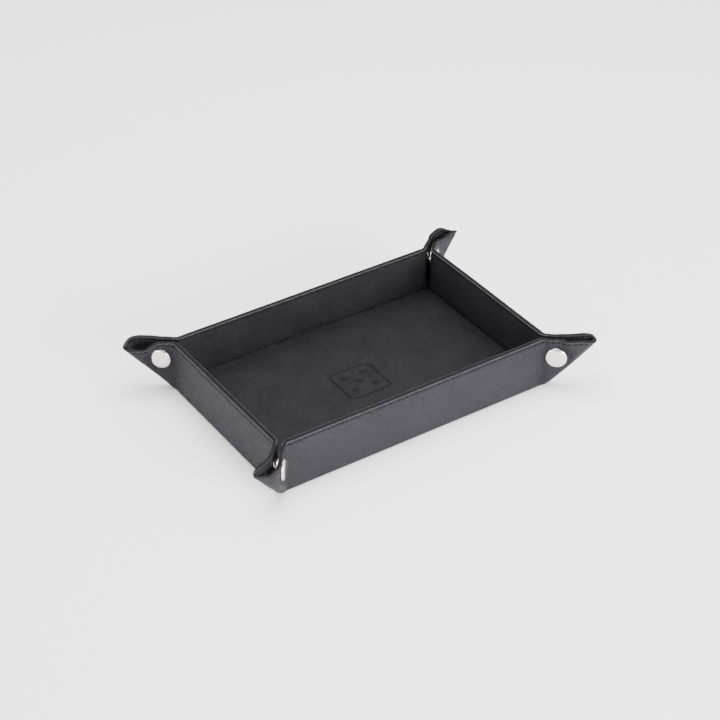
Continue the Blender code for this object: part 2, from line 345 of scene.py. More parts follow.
def finish_named(name):
    """A material, made the first time that a piece asks for it."""
    if name not in bpy.data.materials:
        leather = bpy.context.scene.dice_tray.leather
        hardware = bpy.context.scene.dice_tray.hardware
        if name == "hide_pebbled_leather":
            pebbled_leather(name, leather.hide, leather.worn_and_rim_highlight, leather.grain, 0.45, 0.2)
        elif name == "lining_pebbled_leather":
            pebbled_leather(name, leather.lining, leather.worn_and_rim_highlight, leather.grain, 0.42, 0.26)
        elif name == "edge_paint_acrylic":
            edge_paint(name, leather.edge_paint)
        elif name == "thread_waxed_polyester":
            waxed_thread(name, leather.thread, leather.thread_width)
        elif name == "snap_polished_nickel":
            polished_nickel(name, hardware.nickel)
        elif name == "board_pressed_fibre":
            fibreboard(name, hardware.board)
    return bpy.data.materials[name]


# --- shared shapes


def smooth(share):
    """An even rise from 0 to 1."""
    share = min(max(share, 0.0), 1.0)
    return share * share * (3 - 2 * share)


def ripple(point):
    """Slow unevenness of hand-laid leather, in metres."""
    slow = noise.noise(point * 22 + Vector((3.1, 7.7, 1.3)))
    quick = noise.noise(point * 75 + Vector((9.2, 0.4, 5.8)))
    return (0.22 * slow + 0.07 * quick) * MM


def new_piece(name, bm, finishes, replaced=()):
    """The finished bmesh as an object at the origin, with its materials, and with the imported parts that it
    replaces hidden.
    """
    mesh = bpy.data.meshes.new(name)
    bm.to_mesh(mesh)
    bm.free()
    for finish in finishes:
        mesh.materials.append(finish_named(finish))
    mesh.shade_smooth()
    made = bpy.data.objects.new(name, mesh)
    bpy.context.scene.collection.objects.link(made)
    if replaced:
        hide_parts(*replaced)
    return made


def leather_piece(stem, layer, bm, replaced=()):
    """A piece of the outer leather or of the lining, with painted edges."""
    finishes = [FINISHES[layer], "edge_paint_acrylic"]
    return new_piece(f"{stem}_{layer}_leather", bm, finishes, replaced)


class Side:
    """A wall: its fold line's middle, the way along it and the way out of the tray."""

    def __init__(self, name):
        joint = JOINTS[f"{name}_wall_fold"]
        self.name = name
        self.body = f"{name}_wall"
        self.fold = Vector(joint["pos_m"])
        self.along = Vector(joint["axis"])
        self.out = self.along.cross(UP)
        first, second = NEIGHBOURS[name]
        self.leaves = [Leaf(self, first), Leaf(self, second)]
        self.half_length = abs((self.leaves[0].fold - self.fold).dot(self.along)) - CREASE_BEFORE

    def point(self, along, out, up):
        """out is from the wall's middle layer, and up from its fold line."""
        flat = self.fold + self.along * along + UP * max(up, 0.0)
        out += ripple(flat) * smooth(up / (8 * MM))
        return self.fold + self.along * along + self.out * out + UP * up


class Leaf:
    """One wall's half of an ear: from its fold line out to the ear's lower fold, which it shares."""

    def __init__(self, side, neighbour):
        joint = JOINTS[f"{side.name}_wall_{neighbour}_flap_turn"]
        self.side = side
        self.name = f"{side.name}_wall_{neighbour}"
        self.body = f"{self.name}_flap"
        self.fold = Vector(joint["pos_m"])
        self.end = 1 if (self.fold - side.fold).dot(side.along) > 0 else -1
        self.toward = side.along * self.end
        self.out = (self.toward + side.out).normalized()
        self.face = (side.out - self.toward).normalized()
        pair = (side.name, neighbour) if side.name in ("front", "back") else (neighbour, side.name)
        self.corner = "_".join(pair)
        ear = EARS[self.corner]
        rims = LEAF_RIMS[self.name]
        # A lean's sign is by the leaf that belongs to the left or right wall
        own = 1 if side.name in ("left", "right") else -1
        self.lean, self.draw, self.drop = own * ear["lean"] * MM, ear["draw"] * MM, ear["drop"] * MM
        self.start, self.power = ear["start"] * MM, ear["power"]
        self.throat, self.mouth, self.roll = rims["throat"] * MM, rims["mouth"] * MM, rims["roll"] * MM

    def frame_at(self, along):
        """The point on the fold line's level and the way that the leaf faces there."""
        reach = EAR_BEND * tan(pi / 8)
        if along <= -reach:
            return self.fold + self.toward * along, self.side.out
        if along >= reach:
            return self.fold + self.out * along, self.face
        turn = (along + reach) / (2 * reach) * pi / 4
        facing = self.side.out * cos(turn) - self.toward * sin(turn)
        centre = self.fold - self.toward * reach + self.side.out * EAR_BEND
        return centre - facing * EAR_BEND, facing

    def shift(self, along):
        """How the ear's own middle moves: leaning sideways, drawn in and dropped."""
        past = min(max((along - self.start) / (TIP_ALONG - self.start), 0.0), 1.1)
        return self.lean * past**self.power, self.draw * past**1.8, self.drop * past**1.8

    def opening(self, along):
        """Half the ear's width at the rim."""
        throat = self.throat - EAR_HALF_GAP
        mouth = self.mouth - self.throat
        beyond = smooth((along - SNAP_ALONG) / (9 * MM))
        return EAR_HALF_GAP + throat * smooth(along / SNAP_ALONG) + mouth * beyond

    def middle(self, along, up):
        """The leaf's middle layer: flat round the snap, swelling beyond it, and closing in the lower fold."""
        level = max(up, 0.0)
        ridge = max((EAR_OFFSET + level - along) / sqrt(2), 0.0)
        height = min(level / RIM, 1.0)
        width = EAR_HALF_GAP + (self.opening(along) - EAR_HALF_GAP) * height
        opened = smooth(hypot(along - SNAP_ALONG, level - SNAP_UP) / SNAP_FLAT - 1)
        closed = arched(ridge, EAR_HALF_GAP)
        spread = closed + (arched(ridge, width) - closed) * opened
        base, facing = self.frame_at(along)
        flat = base + UP * level
        uneven = ripple(flat) * smooth(ridge / (6 * MM)) * smooth(level / (8 * MM)) * opened
        leaning, drawn, dropped = self.shift(along)
        offset = spread - EAR_HALF_GAP + leaning + uneven
        rolled = self.roll * smooth((along - SNAP_ALONG) / (12 * MM)) * smooth(ridge / (8 * MM))
        return base + facing * offset - self.out * drawn + UP * (up - dropped * height - rolled * height**2)

    def facing(self, along, up):
        """The way the leather's outer face looks, from the slope of its middle layer."""
        level = max(up, 0.0)
        ridge = (EAR_OFFSET + level - along) / sqrt(2)
        step = min(0.15 * MM, 0.5 * ridge)
        if step < 0.004 * MM:
            return self.ridge_facing(along)
        sideways = self.middle(along + step, level) - self.middle(along - step, level)
        upwards = self.middle(along, level + step) - self.middle(along, max(level - step, 0.0))
        return (sideways.cross(upwards) * self.end).normalized()

    def ridge_facing(self, along):
        """Square to the lower fold, in the surface that halves the ear, so both leaves agree."""
        step = 0.2 * MM
        ends = []
        for place in (along - step, along + step):
            leaning, drawn, dropped = self.shift(place)
            level = max(place - EAR_OFFSET, 0.0)
            sunk = dropped * min(level / RIM, 1.0)
            ends.append(self.out * (place - drawn) + self.face * leaning + UP * (level - sunk))
        fold_line = (ends[1] - ends[0]).normalized()
        square = self.out - UP
        return (square - fold_line * square.dot(fold_line)).normalized()

    def point(self, along, offset, up):
        return self.middle(along, up) + self.facing(along, up) * offset


def arched(distance, radius):
    """Height of a round fold of this radius, this far from its edge."""
    if distance >= radius:
        return radius
    return sqrt(max(radius**2 - (radius - distance) ** 2, 0.0))


def edge_distance(along, up):
    """How far a place on a leaf is from its sewn edge."""
    centre = RIM + EAR_OFFSET - CORNER_RADIUS
    if along <= centre:
        return RIM - up
    return CORNER_RADIUS - hypot(along - centre, up - (RIM - CORNER_RADIUS))


def seam_sink(distance):
    """The shallow valley that the thread pulls into the leather."""
    share = abs(distance - SEAM_INSET) / SEAM_WIDTH
    return SEAM_DEPTH * (1 - smooth(share))


def node_reach(node, origin, direction):
    """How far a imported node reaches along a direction, lowest and highest."""
    reaches = [(vertex.co - origin).dot(direction) for vertex in frame["nodes"][node].data.vertices]
    return min(reaches), max(reaches)


def snap_place():
    """Along and up of a snap's centre on its leaf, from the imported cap."""
    low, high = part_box("front_left_snap_cap")
    leaf_fold = Vector(JOINTS["front_wall_left_flap_turn"]["pos_m"])
    out = Vector((-1, -1, 0)).normalized()
    near, far = node_reach("front_left_snap_cap", leaf_fold, out)
    return (near + far) / 2, (low.z + high.z) / 2 - FOLD_HEIGHT


SNAP_ALONG, SNAP_UP = snap_place()
TIP_ALONG = EAR_OFFSET + RIM - CORNER_RADIUS * (1 - cos(pi / 4))
SIDES = [Side(name) for name in NEIGHBOURS]
FRONT, RIGHT = SIDES[:2]
LEAVES = [leaf for side in SIDES for leaf in side.leaves]


def rounded_section(bm, corners):
    """A flat face in the XZ plane from (out, up, cut back) corners, each cut back and rounded."""
    verts = [bm.verts.new((out, 0, up)) for out, up, _ in corners]
    bm.faces.new(verts)
    for vert, (_, _, cut) in zip(verts, corners):
        if cut:
            segments = 8 if cut > 1 * MM else 4
            round_off(bm, [vert], cut, "VERTICES", segments)
    return bm


def round_off(bm, geometry, offset, affect, segments, **more):
    """Rounds vertices or edges off, cutting back this far."""
    settings = {"affect": affect, "segments": segments, "profile": 0.5, "material": -1, **more}
    bmesh.ops.bevel(bm, geom=geometry, offset=offset, **settings)


def divide_tall_edges(bm, step):
    """Gives a section's tall stretches the points that the leather's ripple needs."""
    for edge in list(bm.edges):
        tall = abs(edge.verts[0].co.z - edge.verts[1].co.z)
        if tall > 1.5 * step:
            bmesh.ops.subdivide_edges(bm, edges=[edge], cuts=int(tall / step))


def swept(corners, length, steps):
    """The rounded section drawn out along Y from 0 to 1 of its length, as a closed bar."""
    bm = rounded_section(bmesh.new(), corners)
    divide_tall_edges(bm, 2.2 * MM)
    geometry = bm.verts[:] + bm.edges[:] + bm.faces[:]
    bmesh.ops.spin(
        bm, geom=geometry, cent=(0, 0, 0), axis=(0, 0, 1), dvec=(0, length / steps, 0), angle=0, steps=steps
    )
    bmesh.ops.remove_doubles(bm, verts=bm.verts, dist=0.002 * MM)
    bmesh.ops.recalc_face_normals(bm, faces=bm.faces)
    return bm


def seam_corners(face, up, turn):
    """The valley of a stitch line, going up a face that looks out (turn 1) or down an inner one (-1)."""
    return [
        (face, up - turn * SEAM_WIDTH, 0.35 * MM),
        (face - turn * SEAM_DEPTH, up, 0.3 * MM),
        (face, up + turn * SEAM_WIDTH, 0.35 * MM),
    ]


def hide_corners(with_flange):
    """Section of a wall's outer leather, from the base's underside round the fold and up to the rim."""
    face = PANEL / 2
    back = face - HIDE_BORDER
    bottom = -FOLD_HEIGHT
    upper = seam_corners(face, RIM - SEAM_INSET, 1) + [(face, RIM, RIM_ROUND), (back, RIM, 0.6 * MM)]
    if with_flange:
        inner = bottom + HIDE
        under = [(back, inner, 0.2 * MM), (-FLANGE, inner, 0)]
        return [(-FLANGE, bottom, 0), (face, bottom, face)] + upper + under
    return [(back, bottom, 0), (face, bottom, face)] + upper


def lining_corners(with_flange):
    """Section of a wall's lining, from the floor through the crease and up to the rim."""
    face = -PANEL / 2
    back = face + LINING
    floor = FOLD_HEIGHT
    down = [(back, RIM, 0.4 * MM), (face, RIM, 0.4 * MM)]
    down += seam_corners(face, RIM - SEAM_INSET, -1) + seam_corners(face, LOWER_SEAM, -1)
    if with_flange:
        lip = [(face, floor - 0.1 * MM, 0.5 * MM), (face - 0.5 * MM, floor - 0.1 * MM, 0.3 * MM)]
        lip += [(face - 1.3 * MM, floor + 0.35 * MM, 0.45 * MM), (face - 2.2 * MM, floor, 0.4 * MM)]
        lip += [(-FLANGE, floor, 0), (-FLANGE, floor - LINING, 0), (back, floor - LINING, 0.2 * MM)]
        return down + lip
    return down + [(face, floor - 0.7 * MM, 0), (back, floor - 0.7 * MM, 0)]


def paint_edges(bm):
    """Gives the edge paint to a bar's faces along the rim, between the leathers' rounded outer edges."""
    for face in bm.faces:
        centre = face.calc_center_median()
        if centre.z > RIM - 0.65 * MM and RIM_ROUND - PANEL / 2 < centre.x < PANEL / 2 - RIM_ROUND:
            face.material_index = 1


def rim_wear_and_painted_light(co):
    """How a wall's section is coloured: above 0 on the rim, for wear and a painted highlight; below 0 where the
    stitches pull the seam in, for painted shade.
    """
    seams = [RIM - SEAM_INSET] if co.x > 0 else [RIM - SEAM_INSET, LOWER_SEAM]
    pulled = max(1 - abs(co.z - seam) / SEAM_WIDTH for seam in seams)
    return 0.5 * smooth((co.z - RIM + 0.7 * MM) / (0.6 * MM)) - 0.75 * max(pulled, 0)


def leather_bar(corners, length, steps):
    """A swept section with its rim painted, and with its rim wear, painted highlight and painted seam shade stored
    for the leather to read.
    """
    bm = swept(corners, length, steps)
    paint_edges(bm)
    rubbed = bm.verts.layers.float.new("rubbed")
    for vert in bm.verts:
        vert[rubbed] = rim_wear_and_painted_light(vert.co)
    return bm


def wall_bar(side, corners, back_face=None):
    """A wall's sheet of leather as a closed bar, with a pocket for the board if it borders one."""
    steps = round(2 * side.half_length / (4 * MM))
    bm = leather_bar(corners, 2 * side.half_length, steps)
    if back_face is not None:
        cut_pocket(bm, side, back_face)
    for vert in bm.verts:
        vert.co = side.point(vert.co.y - side.half_length, vert.co.x, vert.co.z)
    bmesh.ops.recalc_face_normals(bm, faces=bm.faces)
    return bm


def push_faces(bm, faces, shift):
    """Moves faces out or in on new sides of their own."""
    grown = bmesh.ops.extrude_face_region(bm, geom=faces)
    verts = [item for item in grown["geom"] if isinstance(item, bmesh.types.BMVert)]
    bmesh.ops.translate(bm, verts=verts, vec=shift)
    return [face for face in faces if face.is_valid]


def cut_pocket(bm, side, back_face):
    """Sinks the back of a hide where the board lies."""
    low, high = node_reach(f"{side.name}_wall_board", side.fold, UP)
    reach = node_reach(f"{side.name}_wall_board", side.fold, side.along)[1] + GAP

    def over_board(face):
        centre = face.calc_center_median()
        on_back = abs(centre.x - back_face) < 0.01 * MM
        beside = abs(centre.y - side.half_length) < reach - 1 * MM
        return on_back and beside and low - 1 * MM < centre.z < high + 1 * MM

    faces = [face for face in bm.faces if over_board(face)]
    left = push_faces(bm, faces, (HIDE_BORDER - HIDE, 0, 0))
    bmesh.ops.delete(bm, geom=left, context="FACES_ONLY")


def bend_at_base(piece, side):
    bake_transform(piece)


def bend_at_ear(piece, leaf):
    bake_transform(piece)


# --- base


def cut_grid(xs, ys, keep):
    """A grid at z 0 on the given lines, without the cells that keep refuses."""
    bm = bmesh.new()
    bmesh.ops.create_grid(bm, x_segments=len(xs) - 1, y_segments=len(ys) - 1, size=0.5)
    for vert in bm.verts:
        column = round((vert.co.x + 0.5) * (len(xs) - 1))
        row = round((vert.co.y + 0.5) * (len(ys) - 1))
        vert.co = (xs[column], ys[row], 0)
    refused = [face for face in bm.faces if not keep(*face.calc_center_median().xy)]
    bmesh.ops.delete(bm, geom=refused, context="FACES")
    return bm


def lines(*stops):
    """Grid lines through the stops of one half, mirrored. Each stop is (reach, step up to it)."""
    half = [0.0]
    for reach, step in stops:
        count = max(1, round((reach - half[-1]) / step))
        start = half[-1]
        half += [start + (reach - start) * i / count for i in range(1, count + 1)]
    return [-value for value in reversed(half[1:])] + half


def on_base(x, y):
    """True where the base's own leather shows, between and at the corners of the walls' flanges."""
    beside_front = abs(y) > FOLD_Y - FLANGE and abs(x) < FRONT.half_length
    beside_right = abs(x) > FOLD_X - FLANGE and abs(y) < RIGHT.half_length
    return not (beside_front or beside_right)


def motif(x, y):
    """How deep the blind-stamped die face is pressed, from 0 to 1: a rounded square and its five pips."""
    flat = MOTIF_HALF - MOTIF_CORNER
    past = hypot(max(abs(x) - flat, 0.0), max(abs(y) - flat, 0.0))
    outline = abs(past - MOTIF_CORNER + min(max(abs(x), abs(y)) - flat, 0.0))
    depth = 1 - smooth((outline - MOTIF_LINE / 2) / MOTIF_LINE)
    for pip_x, pip_y in PIP_PLACES:
        pip = hypot(x - pip_x * MM, y - pip_y * MM)
        depth = max(depth, 1 - smooth((pip - PIP_RADIUS) / MOTIF_LINE))
    return depth


def base_lining():
    """The floor's leather, from flange to flange, with the die face stamped in its middle."""
    reach_x = FOLD_X - PANEL / 2 + GAP
    reach_y = FOLD_Y - PANEL / 2 + GAP
    stamped = (22 * MM, 0.5 * MM)
    xs = lines(stamped, (FRONT.half_length, 4 * MM), (FOLD_X - FLANGE, 2 * MM), (reach_x, 1 * MM))
    ys = lines(stamped, (RIGHT.half_length, 4 * MM), (FOLD_Y - FLANGE, 2 * MM), (reach_y, 1 * MM))
    bm = cut_grid(xs, ys, on_base)
    rubbed = bm.verts.layers.float.new("rubbed")
    for vert in bm.verts:
        x, y = vert.co.xy
        inside = min(reach_x - abs(x), reach_y - abs(y)) - FLANGE
        wave = ripple(vert.co) * smooth(inside / (8 * MM))
        sunk_and_shaded = motif(x, y)
        vert.co.z = PANEL + wave - MOTIF_DEPTH * sunk_and_shaded
        # The stamped lines are painted darker, as shade
        vert[rubbed] = -sunk_and_shaded
    bmesh.ops.recalc_face_normals(bm, faces=bm.faces)
    if bm.faces[0].normal.z < 0:
        bmesh.ops.reverse_faces(bm, faces=bm.faces)
    bmesh.ops.solidify(bm, geom=bm.faces[:], thickness=LINING)
    bmesh.ops.recalc_face_normals(bm, faces=bm.faces)
    made = new_piece("base_lining_leather", bm, [FINISHES["lining"]], ["base_lining"])
    made.data.set_sharp_from_angle(angle=radians(40))
    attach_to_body(made, "base")


def base_hide():
    """The outer leather under the tray, with a pocket for the board and rounded edges."""
    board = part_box("base_board")[1]
    pocket_x, pocket_y = board.x + GAP, board.y + GAP
    reach_x = FOLD_X + PANEL / 2 - 0.25 * MM
    reach_y = FOLD_Y + PANEL / 2 - 0.25 * MM
    flange_x, flange_y = FOLD_X - FLANGE, FOLD_Y - FLANGE
    xs = lines((FRONT.half_length, 6 * MM), (pocket_x, 4 * MM), (flange_x, 4 * MM), (reach_x, 8 * MM))
    ys = lines((RIGHT.half_length, 6 * MM), (pocket_y, 4 * MM), (flange_y, 4 * MM), (reach_y, 8 * MM))
    bm = cut_grid(xs, ys, on_base)
    push_faces(bm, bm.faces[:], (0, 0, HIDE_BORDER))
    bmesh.ops.recalc_face_normals(bm, faces=bm.faces)

    def over_board(face):
        centre = face.calc_center_median()
        return face.normal.z > 0.5 and abs(centre.x) < pocket_x and abs(centre.y) < pocket_y

    faces = [face for face in bm.faces if over_board(face)]
    left = push_faces(bm, faces, (0, 0, HIDE - HIDE_BORDER))
    bmesh.ops.delete(bm, geom=left, context="FACES_ONLY")

    def at_corner(edge):
        a, b = (vert.co for vert in edge.verts)
        at_end = min(abs(a.x), abs(b.x)) > reach_x - 0.1 * MM
        at_side = min(abs(a.y), abs(b.y)) > reach_y - 0.1 * MM
        return at_end and at_side and abs(a.z - b.z) > 1 * MM

    round_off(bm, [edge for edge in bm.edges if at_corner(edge)], 2.2 * MM, "EDGES", 6)

    def outer_bottom(edge):
        low = all(vert.co.z < 0.01 * MM for vert in edge.verts)
        out = all(abs(vert.co.x) > FOLD_X or abs(vert.co.y) > FOLD_Y for vert in edge.verts)
        return low and out and not edge.is_boundary and edge.calc_face_angle(0) > 1

    edges = [edge for edge in bm.edges if outer_bottom(edge)]
    round_off(bm, edges, 1.4 * MM, "EDGES", 5, clamp_overlap=True)
    bmesh.ops.recalc_face_normals(bm, faces=bm.faces)
    made = new_piece("base_outer_leather", bm, [FINISHES["outer"]], ["base_outer"])
    made.data.set_sharp_from_angle(angle=radians(40))
    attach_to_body(made, "base")


# --- walls and ear creases


def wall_leathers(side):
    """A wall's outer leather and lining, each turned at the bottom to meet the base's."""
    outer = wall_bar(side, hide_corners(True), PANEL / 2 - HIDE_BORDER)
    lining = wall_bar(side, lining_corners(True))
    pieces = (
        leather_piece(side.body, "outer", outer, [f"{side.body}_outer", f"{side.name}_fold"]),
        leather_piece(side.body, "lining", lining, [f"{side.body}_lining"]),
    )
    for made in pieces:
        made.data.set_sharp_from_angle(angle=radians(50))
        bend_at_base(made, side)


def crease_bar(leaf, corners, thin):
    """The strip of leather that bends from a wall into its ear, thinning to the leaf's laminate."""
    length = CREASE_BEFORE + CREASE_AFTER
    bm = leather_bar(corners, length, 18)
    for vert in bm.verts:
        offset, station, up = vert.co
        along = station - CREASE_BEFORE
        if up < 0:  # the strip's lower edge rises towards the ear's foot
            up *= 1 - 0.95 * smooth((along + 4 * MM) / (5 * MM))
        offset += (thin(offset) - offset) * smooth(station / length)
        vert.co = leaf.point(along, offset, up)
    bmesh.ops.recalc_face_normals(bm, faces=bm.faces)
    return bm


def thinned_hide(offset):
    """Where a hide's layer of a wall goes on a leaf."""
    share = (offset - (PANEL / 2 - HIDE_BORDER)) / HIDE_BORDER
    return LEAF / 2 - HIDE + share * HIDE


def thinned_lining(offset):
    """Where a lining's layer of a wall goes on a leaf."""
    return offset + (PANEL - LEAF) / 2


def ear_creases(leaf):
    """The two strips that bend from a wall into one leaf of its ear."""
    outer = crease_bar(leaf, hide_corners(False), thinned_hide)
    lining = crease_bar(leaf, lining_corners(False), thinned_lining)
    pieces = (
        leather_piece(f"{leaf.name}_crease", "outer", outer, [f"{leaf.name}_fold"]),
        leather_piece(f"{leaf.name}_crease", "lining", lining),
    )
    for made in pieces:
        made.data.set_sharp_from_angle(angle=radians(50))
        bend_at_ear(made, leaf)


# --- ears


def sewn_path(inset):
    """Length of a leaf's outline at this inset, from where the crease strip starts, and its places."""
    straight = CREASE_BEFORE + RIM + EAR_OFFSET - CORNER_RADIUS
    radius = CORNER_RADIUS - inset

    def place(run):
        if run <= straight:
            return run - CREASE_BEFORE, RIM - inset
        turn = (run - straight) / radius
        centre = straight - CREASE_BEFORE
        return centre + radius * sin(turn), RIM - CORNER_RADIUS + radius * cos(turn)

    return straight + radius * pi / 4, place


def leaf_sheet(leaf, offset):
    """A leaf's visible face as a fan of strips from the corner's foot out to its sewn edge. The last
    column tucks past the lower fold, under the other leaf's."""
    length, place = sewn_path(0.0)
    skipped = CREASE_BEFORE + CREASE_AFTER
    bm = bmesh.new()
    bmesh.ops.create_grid(bm, x_segments=LEAF_COLUMNS, y_segments=LEAF_ROWS, size=0.5)
    ridge_column = 1 - 1 / LEAF_COLUMNS
    rubbed = bm.verts.layers.float.new("rubbed")
    for vert in bm.verts:
        share, rise = vert.co.x + 0.5, vert.co.y + 0.5
        past = share > ridge_column + 0.001
        # Closer strips by the lower fold and closer rows by the seam, where the leather turns most
        fan = 1 - (1 - min(share / ridge_column, 1.0)) ** 1.7
        reach = 1 - (1 - rise) ** 1.5
        edge_along, edge_up = place(skipped + (length - skipped) * fan)
        foot = CREASE_AFTER + (EAR_OFFSET - CREASE_AFTER) * fan
        along = foot + (edge_along - foot) * reach
        up = edge_up * reach
        if fan > 0.9999:
            along = EAR_OFFSET + up
        sunk = seam_sink(edge_distance(along, up))
        depth = offset - (sunk if offset > 0 else -sunk)
        vert.co = leaf.point(along, depth, up)
        if past:
            inwards = leaf.ridge_facing(along) * (-0.12 if offset > 0 else 0.12)
            vert.co += (inwards - leaf.face * 0.4) * MM
        # Wear and a painted highlight along the sewn edge, for the leather's colour
        vert[rubbed] = 0.5 * smooth(1 - (edge_distance(along, up) - 0.1 * MM) / (0.6 * MM))
    return bm


def mark_sewn_edge(bm):
    """The free edge is rounded, and the joins to other pieces stay square."""
    weights = bm.edges.layers.float.new("bevel_weight_edge")
    last_row = (LEAF_COLUMNS + 1) * LEAF_ROWS
    for edge in bm.edges:
        if edge.is_boundary:
            sewn = all(vert.index >= last_row for vert in edge.verts)
            edge[weights] = 1.0 if sewn else 0.0
            edge.smooth = sewn


def leaf_leather(leaf, layer, offset, thickness):
    """One leather of a leaf: its visible face, thickened inwards by modifiers."""
    bm = leaf_sheet(leaf, offset)
    bm.verts.index_update()
    mark_sewn_edge(bm)
    bm.normal_update()
    bm.faces.ensure_lookup_table()
    middle = bm.faces[(LEAF_ROWS // 2) * LEAF_COLUMNS + LEAF_COLUMNS // 3]
    if middle.normal.dot(leaf.face) * offset < 0:
        bmesh.ops.reverse_faces(bm, faces=bm.faces)
    made = leather_piece(leaf.body, layer, bm, [f"{leaf.body}_{layer}"])
    shell = made.modifiers.new("thickness", "SOLIDIFY")
    shell.thickness = thickness
    shell.offset = -1
    shell.material_offset_rim = 1
    rounding = made.modifiers.new("rounded_rim", "BEVEL")
    rounding.limit_method = "WEIGHT"
    rounding.width = RIM_ROUND * 0.8
    rounding.segments = 3
    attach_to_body(made, leaf.body)
    flatten(made, leaf, offset)


def flatten(piece, leaf, offset):
    """Gives the piece a mesh of its own."""
    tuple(leaf.face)
    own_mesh(piece)


# --- stitches


def add_stitch(bm, start, end, facing, width):
    """One stitch: a short raised strip between its two needle holes, made round by the modifiers."""
    run = end - start
    length = run.length
    tangent = run.normalized()
    facing = (facing - tangent * facing.dot(tangent)).normalized()
    across = facing.cross(tangent)
    turn = Matrix((tangent, across, facing)).transposed().to_4x4()
    place = Matrix.Translation((start + end) / 2) @ turn @ Matrix.Diagonal((length, width, 1, 1))
    made = bmesh.ops.create_grid(bm, x_segments=4, y_segments=1, size=0.5, matrix=place)
    for vert in made["verts"]:
        share = (vert.co - (start + end) / 2).dot(tangent) / length
        vert.co += facing * (THREAD_RISE - THREAD_DIP * (2 * share) ** 4)


def thread_piece(name, bm, ride_on=None, attach=None):
    """The stitches of one piece as thread, riding on a body, or attached by the function given."""
    made = new_piece(name, bm, ["thread_waxed_polyester"])
    body = made.modifiers.new("thread_body", "SOLIDIFY")
    body.thickness = 0.3 * MM
    body.offset = 0
    rounding = made.modifiers.new("round_thread", "SUBSURF")
    rounding.levels = rounding.render_levels = 1
    if ride_on:
        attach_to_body(made, ride_on)
    if attach:
        attach(made)


def wall_stitches(side, settings):
    """The rim's seam on both faces, and the lining's lower one."""
    bm = bmesh.new()
    length = 2 * side.half_length
    count = round(length / settings.pitch)
    pitch = length / count
    half = settings.stitch / 2
    valley = PANEL / 2 - SEAM_DEPTH
    for turn, up in ((1, RIM - SEAM_INSET), (-1, RIM - SEAM_INSET), (-1, LOWER_SEAM)):
        for i in range(count):
            along = (i + 0.5) * pitch - side.half_length
            start = side.point(along - half, turn * valley, up)
            end = side.point(along + half, turn * valley, up)
            add_stitch(bm, start, end, side.out * turn, settings.thread_width)
    thread_piece(f"{side.name}_wall_stitches", bm, side.body)


def ear_stitches(leaf, settings):
    """The seam along a leaf's edge: its crease's stitches, and those of its outer leather and lining."""
    length, place = sewn_path(SEAM_INSET)
    count = round(length / settings.pitch)
    pitch = length / count
    half = settings.stitch / 2
    crease = bmesh.new()
    outside = bmesh.new()
    inside = bmesh.new()
    for i in range(count):
        run = (i + 0.5) * pitch
        on_crease = place(run)[0] < CREASE_AFTER
        share = smooth(run / (CREASE_BEFORE + CREASE_AFTER))
        thick = PANEL / 2 + (LEAF / 2 - PANEL / 2) * share - SEAM_DEPTH
        for turn, bm in ((1, outside), (-1, inside)):
            ends = [place(run + step) for step in (-half, half)]
            start, end = (leaf.point(along, turn * thick, up) for along, up in ends)
            facing = leaf.facing(*place(run)) * turn
            add_stitch(crease if on_crease else bm, start, end, facing, settings.thread_width)
    thread_piece(f"{leaf.name}_crease_stitches", crease, attach=lambda made: bend_at_ear(made, leaf))
    for layer, bm, offset in (("outer", outside, LEAF / 2), ("lining", inside, -LEAF / 2)):
        name = f"{leaf.body}_{layer}_stitches"
        thread_piece(name, bm, leaf.body, lambda made: flatten(made, leaf, offset))


# --- press snaps


def turned(profile, centre, facing, sides=48):
    """A profile of (radius, height) points spun about a line through centre. Ends at radius 0 close."""
    bm = bmesh.new()
    verts = [bm.verts.new((radius, 0, height)) for radius, height in profile]
    edges = [bm.edges.new(pair) for pair in zip(verts, verts[1:])]
    if profile[0][0] > 0:
        edges.append(bm.edges.new((verts[-1], verts[0])))
    axis = {"cent": (0, 0, 0), "axis": (0, 0, 1), "dvec": (0, 0, 0)}
    bmesh.ops.spin(bm, geom=verts + edges, angle=2 * pi, steps=sides, use_merge=True, **axis)
    bmesh.ops.remove_doubles(bm, verts=bm.verts, dist=0.003 * MM)
    bmesh.ops.recalc_face_normals(bm, faces=bm.faces)
    turn = facing.to_track_quat("Z", "Y").to_matrix().to_4x4()
    bmesh.ops.transform(bm, matrix=Matrix.Translation(centre) @ turn, verts=bm.verts)
    return bm


def scaled(profile, radius, low, high):
    """Profile given as shares of a radius and of a height, as real sizes."""
    return [(share * radius, low + (high - low) * rise) for share, rise in profile]


CAP_PROFILE = [
    (0, 1), (0.2, 0.99), (0.42, 0.965), (0.62, 0.91), (0.78, 0.82), (0.885, 0.7), (0.955, 0.54),
    (0.99, 0.37), (1, 0.22), (0.985, 0.08), (0.95, 0.0), (0.88, -0.02), (0.8, 0.06), (0.4, 0.1), (0, 0.1),
]
POST_PROFILE = [
    (0, 0.35), (0.2, 0.34), (0.3, 0.45), (0.36, 0.85), (0.45, 1), (0.6, 1), (0.78, 0.9), (0.92, 0.65),
    (1, 0.35), (1, 0.12), (0.95, 0), (0.5, 0.02), (0, 0.02),
]


